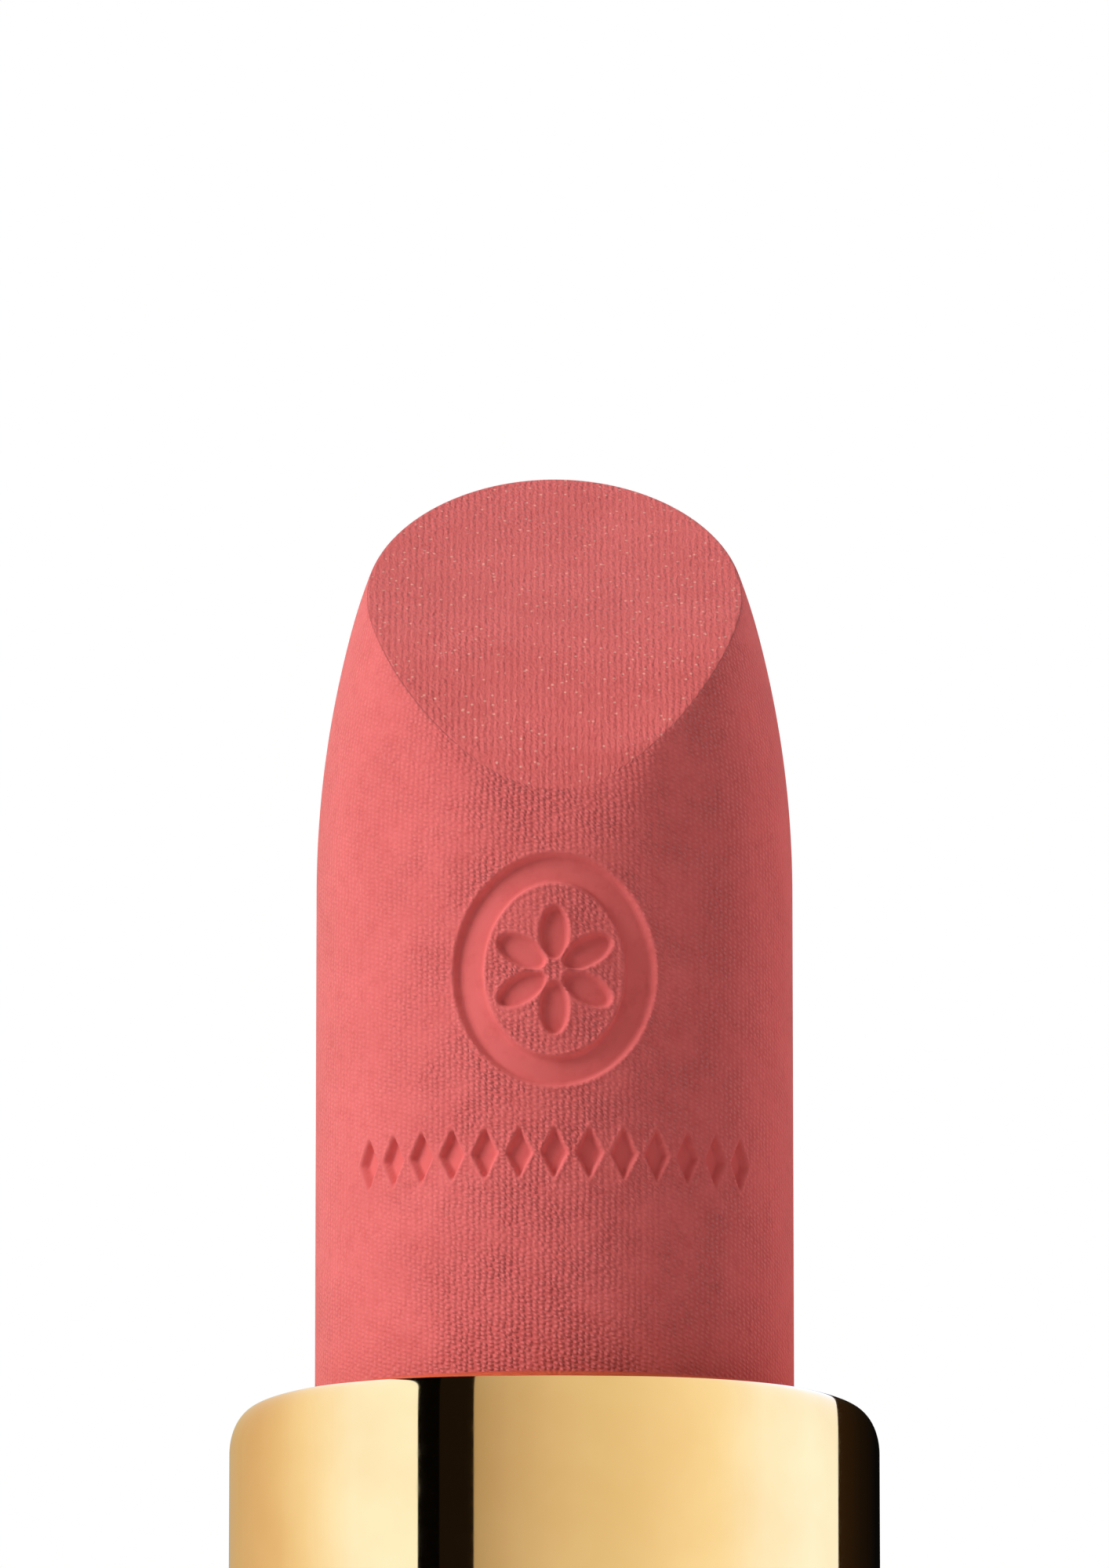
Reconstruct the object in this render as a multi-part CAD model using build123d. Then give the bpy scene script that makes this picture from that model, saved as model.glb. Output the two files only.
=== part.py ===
from build123d import *
import os
from math import acos, asin, cos, degrees, radians, sin, sqrt, tan

# Twist-up lipstick case, in millimetres. The origin is the middle of the base's underside,
# +Z runs up the case's axis, and -Y is the front, towards which the stick's face slants.
# The stick is drawn fully raised, and the cap stands on its mouth beside the case.

# ---- driving dimensions -------------------------------------------------------------------
CASE_R = 10.0            # outside of the base, the trim ring and the cap
SLEEVE_R = 8.2           # outside of the turning sleeve
STICK_R = 6.05           # the wax stick, a 12.1 mm bullet
BASE_H = 25.0            # lacquered base
TRIM_H = 2.0             # gold ring on top of the base
RIM_Z = 50.0             # top of the sleeve
CAP_H = 46.0             # closed height is BASE_H + TRIM_H + CAP_H
CAP_X, CAP_Y = 26.0, 14.0    # where the cap stands
PITCH = 13.0             # rise of the stick for one turn of the sleeve
TRAVEL = 26.0            # whole stroke of the stick, two turns

# ---- walls and clearances -----------------------------------------------------------------
SHEET = 0.5              # drawn metal of the base and cap shells
GLUE = 0.05              # gap for glue between a shell and its liner
FIT = 0.02               # gap between pieces pressed together
RUN = 0.08               # running clearance of the mechanism's tubes, on the radius
SLEEVE_GAP = 0.25        # between the sleeve and the base's bore
CAP_GAP = 0.15           # between the sleeve and the cap's bore
RIB_GAP = 0.02           # between the sleeve and the crests of the cap's ribs
EDGE_BREAK = 0.25        # bevel on the gold rings' outer edges

# ---- mechanism ----------------------------------------------------------------------------
SLEEVE_WALL = 0.4
SLEEVE_FOOT_R = 8.0      # outside of the sleeve where it is hidden in the base
SLEEVE_STEP_Z = BASE_H + TRIM_H + 0.2
LIP_R = 6.6              # inside of the sleeve's rim
LIP_T = 0.45
SHOULDER_R, SHOULDER_H = 0.7, 1.1    # rounding of the sleeve's rim, across and down
CAM_OUT = SLEEVE_R - SLEEVE_WALL - FIT
CAM_WALL = 0.6
GUIDE_OUT = CAM_OUT - CAM_WALL - RUN
GUIDE_WALL = 0.55
CUP_OUT = GUIDE_OUT - GUIDE_WALL - 0.07
CUP_BORE = STICK_R + 0.05
CUP_H = 11.0
CUP_FLOOR = 0.8
CUP_TOP = RIM_Z - 0.6
CUP_Z = CUP_TOP - CUP_H
LUG_R = 0.9              # round lug on each side of the cup
LUG_TIP = 7.6
LUG_Z = CUP_Z + 1.6
GUIDE_SLOT_W = 2.0
CAM_SLOT_H = 2.3         # upright height of the helical slot
CAM_RUN_OUT = 1.4        # slot past the middle of the lug at each end of its travel
SLOT_END = 0.3           # spare length at each end of the guide's slots
WEB_Z, WEB_TOP = 6.5, 9.4    # floor of the base insert, which holds the guide's foot
FLANGE_T = 1.0
WASHER_T = 0.5
FOOT_R = 5.0             # stub under the guide, in the insert's socket
FOOT_WALL = 1.2
VENT_R = 1.5             # hole through the guide's floor
CUP_VENT_R = 1.0         # hole through the cup's floor
FLOOR_TOP = 12.0         # inside floor of the guide tube
TUBE_Z = WEB_TOP + FLANGE_T + WASHER_T + 0.05    # foot of the sleeve and of the cam tube
BEAD_Z, BEAD_H = 11.5, 0.6   # snap groove that keeps the cam tube down

# ---- stick --------------------------------------------------------------------------------
STICK_FOOT = CUP_Z + CUP_FLOOR + GLUE
STICK_EDGE = 0.4         # bevel round the stick's foot
OGIVE_Z = RIM_Z + 13.3   # where the stick starts to narrow
OGIVE_R1, OGIVE_H1 = 26.6, 6.7   # first arc of the narrowing and its height
OGIVE_R2 = 15.0          # second arc, tangent to the first
FACE_ANGLE = 41.8        # slant of the face above the horizontal
FACE_Z = RIM_Z + 22.0    # where the face's line crosses the axis
FACE_BEND_Y = -2.1       # in front of this the face curves down
FACE_BEND_R = 16.7
MARK_DEPTH = 0.2
EMBLEM_Z = RIM_Z + 10.3
EMBLEM_W, EMBLEM_H = 5.0, 5.85
RING_W = 0.7
PETALS = 6
PETAL_IN = 0.3           # from the emblem's middle to a petal
PETAL_L, PETAL_W = 1.3, 0.68
ROW_Z = RIM_Z + 5.7
ROW_COUNT, ROW_HALF_ANGLE = 13, 50.0
LOZENGE_W, LOZENGE_H = 0.62, 1.2

# ---- base and cap details -----------------------------------------------------------------
BASE_FLOOR = 0.65
EDGE_R = 1.0
LABEL_R, LABEL_RECESS, LABEL_T = 7.2, 0.25, 0.15
LABEL_GAP = 0.2
WEIGHT_R, WEIGHT_T, WEIGHT_EDGE = 7.6, 5.5, 0.4
INSERT_TOP = 23.0
BAND_H = 3.0
BAND_IN = 8.9
SPIGOT_H = 3.0
DISC_R, DISC_T = 7.5, 0.4
CAP_TOP_T = 0.85
PARTITION_Z, PARTITION_T = 33.0, 1.2
CAP_RIBS, CAP_RIB_W = 6, 0.8
CAP_RIB_LOW, CAP_RIB_HIGH = 3.0, 18.0
DISC_GROOVE_IN, DISC_GROOVE_OUT, DISC_GROOVE_D = 3.4, 6.4, 0.15


def turned(outline):
    """A closed outline of (radius, height) edges or points, turned about the Z axis."""
    if isinstance(outline, list):
        outline = Polyline(*outline, close=True)
    return revolve(Plane.XZ * make_face(outline), Axis.Z)


def tube(inner, outer, low, high):
    return turned([(inner, low), (outer, low), (outer, high), (inner, high)])


def disc(radius, low, high):
    return Pos(0, 0, low) * Cylinder(radius, high - low, align=(Align.CENTER, Align.CENTER, Align.MIN))


def upright_box(inner, outer, width, low, high):
    """A box that stands out along +X from one radius to another."""
    box = Box(outer - inner, width, high - low, align=(Align.MIN, Align.CENTER, Align.MIN))
    return Pos(inner, 0, low) * box


def around(shape, count, start=0.0):
    return [Rot(0, 0, start + 360.0 * i / count) * shape for i in range(count)]


def rounded_rim(shape, height, radius, size):
    """Rounds the circular edge of a turned shape that has this radius and height."""
    edges = [
        edge for edge in shape.edges().filter_by(GeomType.CIRCLE)
        if abs(edge.radius - radius) < 1e-4 and abs(edge.center().Z - height) < 1e-4
    ]
    return fillet(edges, size)


# ---- base ---------------------------------------------------------------------------------
def base_shell():
    shell = disc(CASE_R, 0, BASE_H) - disc(CASE_R - SHEET, BASE_FLOOR, BASE_H)
    shell = rounded_rim(shell, 0, CASE_R, EDGE_R)
    shell -= disc(LABEL_R + LABEL_GAP, 0, LABEL_RECESS)
    return shell


def shade_label():
    return disc(LABEL_R, LABEL_RECESS - LABEL_T, LABEL_RECESS)


def base_insert():
    outer = CASE_R - SHEET - GLUE
    insert = disc(outer, BASE_FLOOR, INSERT_TOP)
    insert -= disc(WEIGHT_R + GLUE, BASE_FLOOR, WEB_Z)
    insert -= disc(FOOT_R + FIT, WEB_Z, WEB_TOP)
    insert -= disc(SLEEVE_R + SLEEVE_GAP, WEB_TOP, INSERT_TOP)
    inner_edge = EDGE_R - SHEET + GLUE
    return rounded_rim(insert, BASE_FLOOR, outer, inner_edge)


def base_weight():
    return chamfer(disc(WEIGHT_R, BASE_FLOOR, BASE_FLOOR + WEIGHT_T).edges(), WEIGHT_EDGE)


def trim_ring():
    bore = SLEEVE_R + SLEEVE_GAP
    top = BASE_H + TRIM_H
    spigot = CASE_R - SHEET - FIT
    return turned([
        (bore, INSERT_TOP), (spigot, INSERT_TOP), (spigot, BASE_H), (CASE_R, BASE_H),
        (CASE_R, top - EDGE_BREAK), (CASE_R - EDGE_BREAK, top), (bore + EDGE_BREAK, top),
        (bore, top - EDGE_BREAK),
    ])


# ---- mechanism ----------------------------------------------------------------------------
def inner_body():
    flange_top = WEB_TOP + FLANGE_T
    bore = GUIDE_OUT - GUIDE_WALL
    groove = GUIDE_OUT - 0.15
    foot_in = FOOT_R - FOOT_WALL
    body = turned([
        (foot_in, WEB_Z), (FOOT_R - 0.25, WEB_Z), (FOOT_R, WEB_Z + 0.4), (FOOT_R, WEB_TOP),
        (SLEEVE_FOOT_R, WEB_TOP), (SLEEVE_FOOT_R, flange_top), (GUIDE_OUT, flange_top),
        (GUIDE_OUT, BEAD_Z), (groove, BEAD_Z), (groove, BEAD_Z + BEAD_H),
        (GUIDE_OUT, BEAD_Z + BEAD_H), (GUIDE_OUT, RIM_Z - 1.3), (GUIDE_OUT - 0.3, RIM_Z - 1.0),
        (bore, RIM_Z - 1.0), (bore, FLOOR_TOP), (VENT_R, FLOOR_TOP), (VENT_R, flange_top + 0.2),
        (foot_in, flange_top + 0.2),
    ])
    low = LUG_Z - TRAVEL - LUG_R - SLOT_END
    high = LUG_Z + LUG_R + SLOT_END
    for slot in around(upright_box(bore - 1, GUIDE_OUT + 1, GUIDE_SLOT_W, low, high), 2):
        body -= slot
    return body


def brake_washer():
    flange_top = WEB_TOP + FLANGE_T
    return tube(GUIDE_OUT + GLUE, SLEEVE_FOOT_R, flange_top, flange_top + WASHER_T)


def cam_slot():
    """A twisted sector that clears one lug over the whole stroke, centred on it at the top."""
    half = 180.0 * CAM_SLOT_H / PITCH
    low = LUG_Z - TRAVEL - CAM_RUN_OUT
    high = LUG_Z + CAM_RUN_OUT
    inner, outer = GUIDE_OUT - 0.5, CAM_OUT + 0.5
    start = (low - LUG_Z) / PITCH * 360.0
    first, last = radians(start - half), radians(start + half)
    middle = radians(start)
    inside = ThreePointArc(*[(inner * cos(a), inner * sin(a)) for a in (first, middle, last)])
    outside = ThreePointArc(*[(outer * cos(a), outer * sin(a)) for a in (last, middle, first)])
    sides = Line(inside @ 1, outside @ 0) + Line(outside @ 1, inside @ 0)
    section = Wire((inside + outside + sides).edges())
    twist = (high - low) / PITCH * 360.0
    height = Vector(0, 0, high - low)
    solid = Solid.extrude_linear_with_rotation(section, Vector(0, 0, 0), height, twist)
    return Pos(0, 0, low) * Part(solid.wrapped)


def cam_tube():
    inner = CAM_OUT - CAM_WALL
    bead = inner - 0.15
    top = RIM_Z - LIP_T - 0.25
    body = turned([
        (inner, TUBE_Z), (CAM_OUT, TUBE_Z), (CAM_OUT, top), (inner, top),
        (inner, BEAD_Z + BEAD_H - 0.05), (bead, BEAD_Z + BEAD_H - 0.15),
        (bead, BEAD_Z + 0.15), (inner, BEAD_Z + 0.05),
    ])
    for slot in around(cam_slot(), 2):
        body -= slot
    return body


def sleeve():
    inner = SLEEVE_R - SLEEVE_WALL
    shoulder_x, shoulder_z = SLEEVE_R - SHOULDER_R, RIM_Z - SHOULDER_H
    shoulder = EllipticalCenterArc((shoulder_x, shoulder_z), SHOULDER_R, SHOULDER_H, 0, arc_size=90)
    rest = Polyline(
        (shoulder_x, RIM_Z), (LIP_R + 0.1, RIM_Z), (LIP_R, RIM_Z - 0.1), (LIP_R, RIM_Z - LIP_T),
        (inner, RIM_Z - LIP_T), (inner, TUBE_Z), (SLEEVE_FOOT_R, TUBE_Z),
        (SLEEVE_FOOT_R, SLEEVE_STEP_Z), (SLEEVE_R, SLEEVE_STEP_Z), (SLEEVE_R, shoulder_z),
    )
    return turned(shoulder + rest)


def cup():
    body = turned([
        (CUP_VENT_R, CUP_Z), (CUP_OUT - 0.2, CUP_Z), (CUP_OUT, CUP_Z + 0.2), (CUP_OUT, CUP_TOP),
        (CUP_BORE + 0.12, CUP_TOP), (CUP_BORE, CUP_TOP - 0.4), (CUP_BORE, CUP_Z + CUP_FLOOR),
        (CUP_VENT_R, CUP_Z + CUP_FLOOR),
    ])
    lug_in = CUP_BORE + 0.1
    lug = Cylinder(LUG_R, LUG_TIP - lug_in, align=(Align.CENTER, Align.CENTER, Align.MIN))
    rib = upright_box(STICK_R + 0.01, CUP_BORE + 0.1, 0.5, CUP_Z + 1.5, CUP_TOP - 2.0)
    for piece in around(Pos(lug_in, 0, LUG_Z) * Rot(0, 90, 0) * lug, 2) + around(rib, 6, 30):
        body += piece
    return body


# ---- stick --------------------------------------------------------------------------------
def ogive():
    """The stick before its face is cut: a cylinder that narrows in two tangent arcs."""
    turn = degrees(asin(OGIVE_H1 / OGIVE_R1))
    centre1 = (STICK_R - OGIVE_R1, OGIVE_Z)
    join = (centre1[0] + OGIVE_R1 * cos(radians(turn)), OGIVE_Z + OGIVE_H1)
    centre2 = (join[0] - OGIVE_R2 * cos(radians(turn)), join[1] - OGIVE_R2 * sin(radians(turn)))
    last = degrees(acos(-centre2[0] / OGIVE_R2))
    peak = centre2[1] + sqrt(OGIVE_R2**2 - centre2[0]**2)
    arcs = CenterArc(centre1, OGIVE_R1, 0, turn) + CenterArc(centre2, OGIVE_R2, turn, last - turn)
    rest = Polyline(
        (0, peak), (0, STICK_FOOT), (STICK_R - STICK_EDGE, STICK_FOOT),
        (STICK_R, STICK_FOOT + STICK_EDGE),
        (STICK_R, OGIVE_Z),
    )
    return turned(arcs + rest)


def above_face():
    """What the slanted face takes off: straight at the back, bending down at the front."""
    slope = radians(FACE_ANGLE)
    bend = (FACE_BEND_Y, FACE_Z + FACE_BEND_Y * tan(slope))
    centre = (bend[0] + FACE_BEND_R * sin(slope), bend[1] - FACE_BEND_R * cos(slope))
    curve = CenterArc(centre, FACE_BEND_R, 90 + FACE_ANGLE, 90 - FACE_ANGLE)
    reach = 2 * CASE_R
    back = FACE_Z + reach * tan(slope)
    rest = Polyline(curve @ 1, (-reach, centre[1]), (-reach, back), (reach, back), bend)
    return extrude(Plane.YZ * make_face(curve + rest), CASE_R, both=True)


def pressed(sketch):
    """A flat mark, drawn on the front of the stick, as the wax that it pushes in."""
    stamp = extrude(Plane.XZ * sketch, 2 * CASE_R)
    return stamp - disc(STICK_R - MARK_DEPTH, OGIVE_Z - 2 * CASE_R, OGIVE_Z + CASE_R)


def emblem():
    """An upright oval ring around a flower of plain petals."""
    ring = Ellipse(EMBLEM_W / 2, EMBLEM_H / 2)
    ring -= Ellipse(EMBLEM_W / 2 - RING_W, EMBLEM_H / 2 - RING_W)
    petal = Pos(0, PETAL_IN + PETAL_L / 2) * Ellipse(PETAL_W / 2, PETAL_L / 2)
    for leaf in around(petal, PETALS):
        ring += leaf
    return pressed(Pos(0, EMBLEM_Z) * ring)


def lozenge_row():
    lozenge = make_face(Polyline(
        (-LOZENGE_W / 2, 0), (0, -LOZENGE_H / 2), (LOZENGE_W / 2, 0), (0, LOZENGE_H / 2), close=True,
    ))
    stamp = pressed(Pos(0, ROW_Z) * lozenge)
    step = 2 * ROW_HALF_ANGLE / (ROW_COUNT - 1)
    return [Rot(0, 0, step * i - ROW_HALF_ANGLE) * stamp for i in range(ROW_COUNT)]


def bullet():
    stick = ogive() - above_face() - emblem()
    for mark in lozenge_row():
        stick -= mark
    return stick


# ---- cap, drawn on the axis with its mouth at z = 0 ---------------------------------------
def cap_shell():
    shell = disc(CASE_R, BAND_H, CAP_H) - disc(CASE_R - SHEET, BAND_H, CAP_H - CAP_TOP_T)
    shell = rounded_rim(shell, CAP_H, CASE_R, EDGE_R)
    return shell - disc(DISC_R + GLUE, CAP_H - DISC_T, CAP_H)


def cap_top_disc():
    """Flush disc with a shallow turned groove."""
    body = disc(DISC_R, CAP_H - DISC_T, CAP_H)
    body -= tube(DISC_GROOVE_IN, DISC_GROOVE_OUT, CAP_H - DISC_GROOVE_D, CAP_H)
    return body


def cap_band():
    spigot = CASE_R - SHEET - FIT
    return turned([
        (BAND_IN, 0.2), (BAND_IN + 0.2, 0), (CASE_R - EDGE_BREAK, 0), (CASE_R, EDGE_BREAK),
        (CASE_R, BAND_H), (spigot, BAND_H), (spigot, BAND_H + SPIGOT_H),
        (BAND_IN, BAND_H + SPIGOT_H),
    ])


def cap_liner():
    bore = SLEEVE_R + CAP_GAP
    outer = CASE_R - SHEET - GLUE
    step = BAND_H + SPIGOT_H + GLUE
    top = CAP_H - CAP_TOP_T - GLUE
    pocket = WEIGHT_R + GLUE
    body = turned([
        (bore, 0.6), (bore + 0.3, 0.3), (BAND_IN - GLUE, 0.3), (BAND_IN - GLUE, step),
        (outer, step), (outer, top), (pocket, top), (pocket, PARTITION_Z + PARTITION_T),
        (0, PARTITION_Z + PARTITION_T), (0, PARTITION_Z), (bore, PARTITION_Z),
    ])
    rib = upright_box(SLEEVE_R + RIB_GAP, bore + 0.2, CAP_RIB_W, CAP_RIB_LOW, CAP_RIB_HIGH)
    for piece in around(rib, CAP_RIBS):
        body += piece
    return body


def cap_weight():
    low = PARTITION_Z + PARTITION_T
    return chamfer(disc(WEIGHT_R, low, low + WEIGHT_T).edges(), WEIGHT_EDGE)


def check_mechanism():
    """The cup must clear the rim and the floor, and its lugs must reach into the cam."""
    assert CUP_OUT < LIP_R
    assert LUG_Z - TRAVEL - LUG_R > FLOOR_TOP
    assert GUIDE_OUT < LUG_TIP < CAM_OUT


ON_AXIS = [
    base_shell, base_insert, base_weight, shade_label, trim_ring, inner_body, brake_washer,
    cam_tube, sleeve, cup, bullet,
]
CAP = [cap_shell, cap_liner, cap_weight, cap_band, cap_top_disc]

check_mechanism()
os.makedirs("parts", exist_ok=True)
for make in ON_AXIS:
    export_step(make(), f"parts/{make.__name__}.step")
for make in CAP:
    export_step(Pos(CAP_X, CAP_Y, 0) * make(), f"parts/{make.__name__}.step")
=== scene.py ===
import math

import bpy
import numpy as np
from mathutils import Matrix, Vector


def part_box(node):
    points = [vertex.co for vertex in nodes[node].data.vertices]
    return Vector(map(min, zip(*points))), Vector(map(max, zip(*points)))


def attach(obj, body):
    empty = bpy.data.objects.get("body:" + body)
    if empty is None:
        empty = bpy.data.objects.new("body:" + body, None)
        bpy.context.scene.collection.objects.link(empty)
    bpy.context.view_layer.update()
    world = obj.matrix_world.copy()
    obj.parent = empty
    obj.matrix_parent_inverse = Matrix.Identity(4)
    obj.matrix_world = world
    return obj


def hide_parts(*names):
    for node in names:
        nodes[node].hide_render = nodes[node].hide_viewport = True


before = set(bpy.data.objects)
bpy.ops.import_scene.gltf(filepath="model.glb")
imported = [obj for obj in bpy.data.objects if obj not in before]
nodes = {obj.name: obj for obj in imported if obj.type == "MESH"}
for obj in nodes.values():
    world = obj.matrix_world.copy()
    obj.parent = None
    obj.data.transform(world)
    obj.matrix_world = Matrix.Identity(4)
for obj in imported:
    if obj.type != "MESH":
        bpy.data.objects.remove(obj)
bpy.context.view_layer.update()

# Everything below is worked out in millimetres, in the frame of the CAD model: +Z up the
# case's axis, -Y the front. Meshes are written in metres at the end.
MM = 0.001
SCENE = bpy.context.scene


def node_box(node):
    """Lowest and highest corner of a CAD node, in millimetres."""
    low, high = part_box(node)
    return Vector(low) / MM, Vector(high) / MM


# ---- sizes read from the frame ------------------------------------------------------------
sleeve_low, sleeve_high = node_box("sleeve")
stick_low, stick_high = node_box("bullet")
shell_high = node_box("base_shell")[1]
trim_low, trim_high = node_box("trim_ring")
cap_low, cap_high = node_box("cap_shell")
band_low, band_high = node_box("cap_band")
disc_low, disc_high = node_box("cap_top_disc")

SLEEVE_R = sleeve_high.x
RIM_Z = sleeve_high.z
STICK_R = stick_high.x
STICK_FOOT = stick_low.z
CASE_R = shell_high.x
CAP_CENTRE = ((cap_low.x + cap_high.x) / 2, (cap_low.y + cap_high.y) / 2)
DISC_R = disc_high.x - CAP_CENTRE[0]

# ---- walls and edges of the metal pieces, as the CAD model has them -------------------------
SHOULDER_R, SHOULDER_H = 0.7, 1.1        # rounding of the sleeve's rim, across and down
SLEEVE_WALL = 0.4
SLEEVE_FOOT_IN = 0.2     # how much slimmer the sleeve is where the base hides it
SLEEVE_STEP_UP = 0.2     # height of that step above the trim ring
LIP_R, LIP_T = 6.6, 0.45         # the sleeve's inward lip round the stick
SHEET = 0.5              # drawn metal of the base and cap shells
EDGE_R = 1.0             # rounding of their closed ends
BREAK = 0.08             # the smallest edges
BASE_FLOOR, CAP_TOP_T = 0.65, 0.85
END_HOLE_R = 0.6         # hole in the middle of each shell's closed end
LABEL_R, LABEL_RECESS = 7.4, 0.25
SEAT_GAP = 0.05          # round the disc in the cap's end
SPIGOT_IN = 0.52         # from the case's outside to a gold ring's spigot
TRIM_GAP = 0.25          # between the sleeve and the trim ring
BAND_IN = 8.9
RING_EDGE = 0.22         # rounding of the gold rings' outer edges
GROOVE_OFF, GROOVE_W, GROOVE_FLOOR_W, GROOVE_D = 0.55, 0.24, 0.12, 0.1   # their turned line

# ---- the stick's shape, as the CAD model has it -------------------------------------------
OGIVE_Z = RIM_Z + 13.3   # where the stick starts to narrow
OGIVE_R1, OGIVE_H1 = 26.6, 6.7   # its lower arc: radius, and height that it spans
OGIVE_R2 = 15.0          # its upper arc
FACE_ANGLE = math.radians(41.8)
FACE_Z = RIM_Z + 22.0    # where the face's line crosses the axis
FACE_BEND_Y = -2.1       # in front of this the face curves down
FACE_BEND_R = 16.7
FACE_MIDDLE_Y = -1.4     # where the face's mesh has its middle point
EDGE_CRISP, EDGE_WORN = 0.07, 0.8        # blend of side and face, and more of it at the lip
WORN_FROM, WORN_TO = 5.2, 5.95           # where the wear sets in, in front of the axis
STICK_EDGE = 0.4         # bevel round the stick's foot
EMBLEM_Z = RIM_Z + 10.3
EMBLEM_W, EMBLEM_H = 5.0, 5.85
RING_W = 0.7
PETALS = 6
PETAL_IN = 0.3           # from the emblem's middle to a petal
PETAL_L, PETAL_W = 1.3, 0.68
ROW_Z = RIM_Z + 5.7
ROW_COUNT, ROW_HALF_ANGLE = 13, math.radians(50.0)
LOZENGE_W, LOZENGE_H = 0.62, 1.2
MARK_DEPTH = 0.2
MARK_WALL = 0.045        # half the width of a mark's sloping wall
MARK_LIP = 0.022         # wax pushed up round each mark
GRAIN_ACROSS, GRAIN_ALONG = 0.163, 0.115     # pitch of the velvet grain's beads
FINE = 0.052             # mesh size over the marks
FAR = 9.0                # stands for "nowhere near a mark"


# ---- meshes -------------------------------------------------------------------------------
def mesh_piece(name, points, faces, body, replaced=()):
    """A smooth-shaded piece from points in millimetres, riding on a CAD body."""
    mesh = bpy.data.meshes.new(name)
    mesh.from_pydata((np.asarray(points, float) * MM).tolist(), [], faces)
    mesh.validate()
    mesh.update()
    mesh.shade_smooth()
    piece = bpy.data.objects.new(name, mesh)
    SCENE.collection.objects.link(piece)
    if body:
        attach(piece, body)
    if replaced:
        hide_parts(*replaced)
    return piece


def rounded_outline(corners, steps=8):
    """A closed outline from (radius, height, rounding) corners, with each rounding an arc.
    A close point each side of an arc keeps the shading of the straight parts straight."""
    outline = []
    count = len(corners)
    for i, (r, z, size) in enumerate(corners):
        here = np.array([r, z])
        if size == 0:
            outline.append(here)
            continue
        before = np.array(corners[i - 1][:2]) - here
        after = np.array(corners[(i + 1) % count][:2]) - here
        before /= np.linalg.norm(before)
        after /= np.linalg.norm(after)
        half = math.acos(np.clip(before @ after, -1, 1)) / 2
        reach = size / math.tan(half)
        middle = before + after
        centre = here + middle / np.linalg.norm(middle) * size / math.sin(half)
        first, last = here + before * reach, here + after * reach
        a0 = math.atan2(*(first - centre)[::-1])
        a1 = math.atan2(*(last - centre)[::-1])
        turn = (a1 - a0 + math.pi) % (2 * math.pi) - math.pi
        outline.append(first + before * size * 0.1)
        for k in range(steps + 1):
            a = a0 + turn * k / steps
            outline.append(centre + size * np.array([math.cos(a), math.sin(a)]))
        outline.append(last + after * size * 0.1)
    return outline


def turned(name, outline, body, replaced, centre=(0, 0), segments=192):
    """A closed outline of (radius, height) points turned about an upright axis."""
    outline = np.array(outline)
    angles = np.arange(segments) * 2 * math.pi / segments
    r, z = outline[:, 0], outline[:, 1]
    points = np.stack([
        centre[0] + np.outer(np.cos(angles), r),
        centre[1] + np.outer(np.sin(angles), r),
        np.tile(z, (segments, 1)),
    ], axis=-1).reshape(-1, 3)
    count = len(outline)
    faces = []
    for i in range(segments):
        here, there = i * count, (i + 1) % segments * count
        for k in range(count):
            n = (k + 1) % count
            faces.append((here + k, there + k, there + n, here + n))
    return mesh_piece(name, points, faces, body, replaced)


def capped_faces(columns, rows):
    """Faces of a grid of points that goes round an axis. The two points that follow the
    grid's own close it: one under its first row, and one over its last."""
    total = columns * rows
    faces = []
    for i in range(columns):
        here, there = i * rows, (i + 1) % columns * rows
        faces.append((total, there, here))
        for k in range(rows - 1):
            faces.append((here + k, there + k, there + k + 1, here + k + 1))
        faces.append((here + rows - 1, there + rows - 1, total + 1))
    return faces


def solid_disc(name, outline, lift, body, replaced, centre=(0, 0), segments=192):
    """An outline that starts and ends on the axis, turned, with lift(x, y) added on top."""
    outline = np.array(outline)
    angles = np.arange(segments) * 2 * math.pi / segments
    ring = outline[1:-1]
    x = np.outer(np.cos(angles), ring[:, 0])
    y = np.outer(np.sin(angles), ring[:, 0])
    z = np.tile(ring[:, 1], (segments, 1)) + lift(x, y, ring[:, 1])
    points = np.stack([x + centre[0], y + centre[1], z], axis=-1).reshape(-1, 3)
    bottom, top = outline[0], outline[-1]
    middle = lift(np.zeros((1, 1)), np.zeros((1, 1)), top[1:2])[0, 0]
    points = np.vstack([
        points, [centre[0], centre[1], bottom[1]], [centre[0], centre[1], top[1] + middle],
    ])
    faces = capped_faces(segments, len(ring))
    return mesh_piece(name, points, faces, body, replaced)


def smoothstep(x, low, high):
    """0 below low, 1 above high, and a smooth step between them."""
    t = np.clip((x - low) / (high - low), 0, 1)
    return t * t * (3 - 2 * t)


# ---- the stick ----------------------------------------------------------------------------
def ogive_radius(z):
    """The stick's radius at a height: a cylinder that narrows in two tangent arcs."""
    turn = math.asin(OGIVE_H1 / OGIVE_R1)
    join = STICK_R - OGIVE_R1 * (1 - math.cos(turn))
    centre_r = join - OGIVE_R2 * math.cos(turn)
    centre_h = OGIVE_H1 - OGIVE_R2 * math.sin(turn)
    h = np.clip(z - OGIVE_Z, 0, None)
    low = STICK_R - OGIVE_R1 + np.sqrt(OGIVE_R1**2 - np.minimum(h, OGIVE_H1)**2)
    high = centre_r + np.sqrt(np.clip(OGIVE_R2**2 - (h - centre_h)**2, 1e-6, None))
    return np.where(h < OGIVE_H1, low, high)


def side_distance(p):
    """How far outside the ogive a point is."""
    r = np.hypot(p[..., 0], p[..., 1])
    step = 1e-3
    slope = (ogive_radius(p[..., 2] + step) - ogive_radius(p[..., 2] - step)) / (2 * step)
    return (r - ogive_radius(p[..., 2])) / np.sqrt(1 + slope**2)


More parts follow.
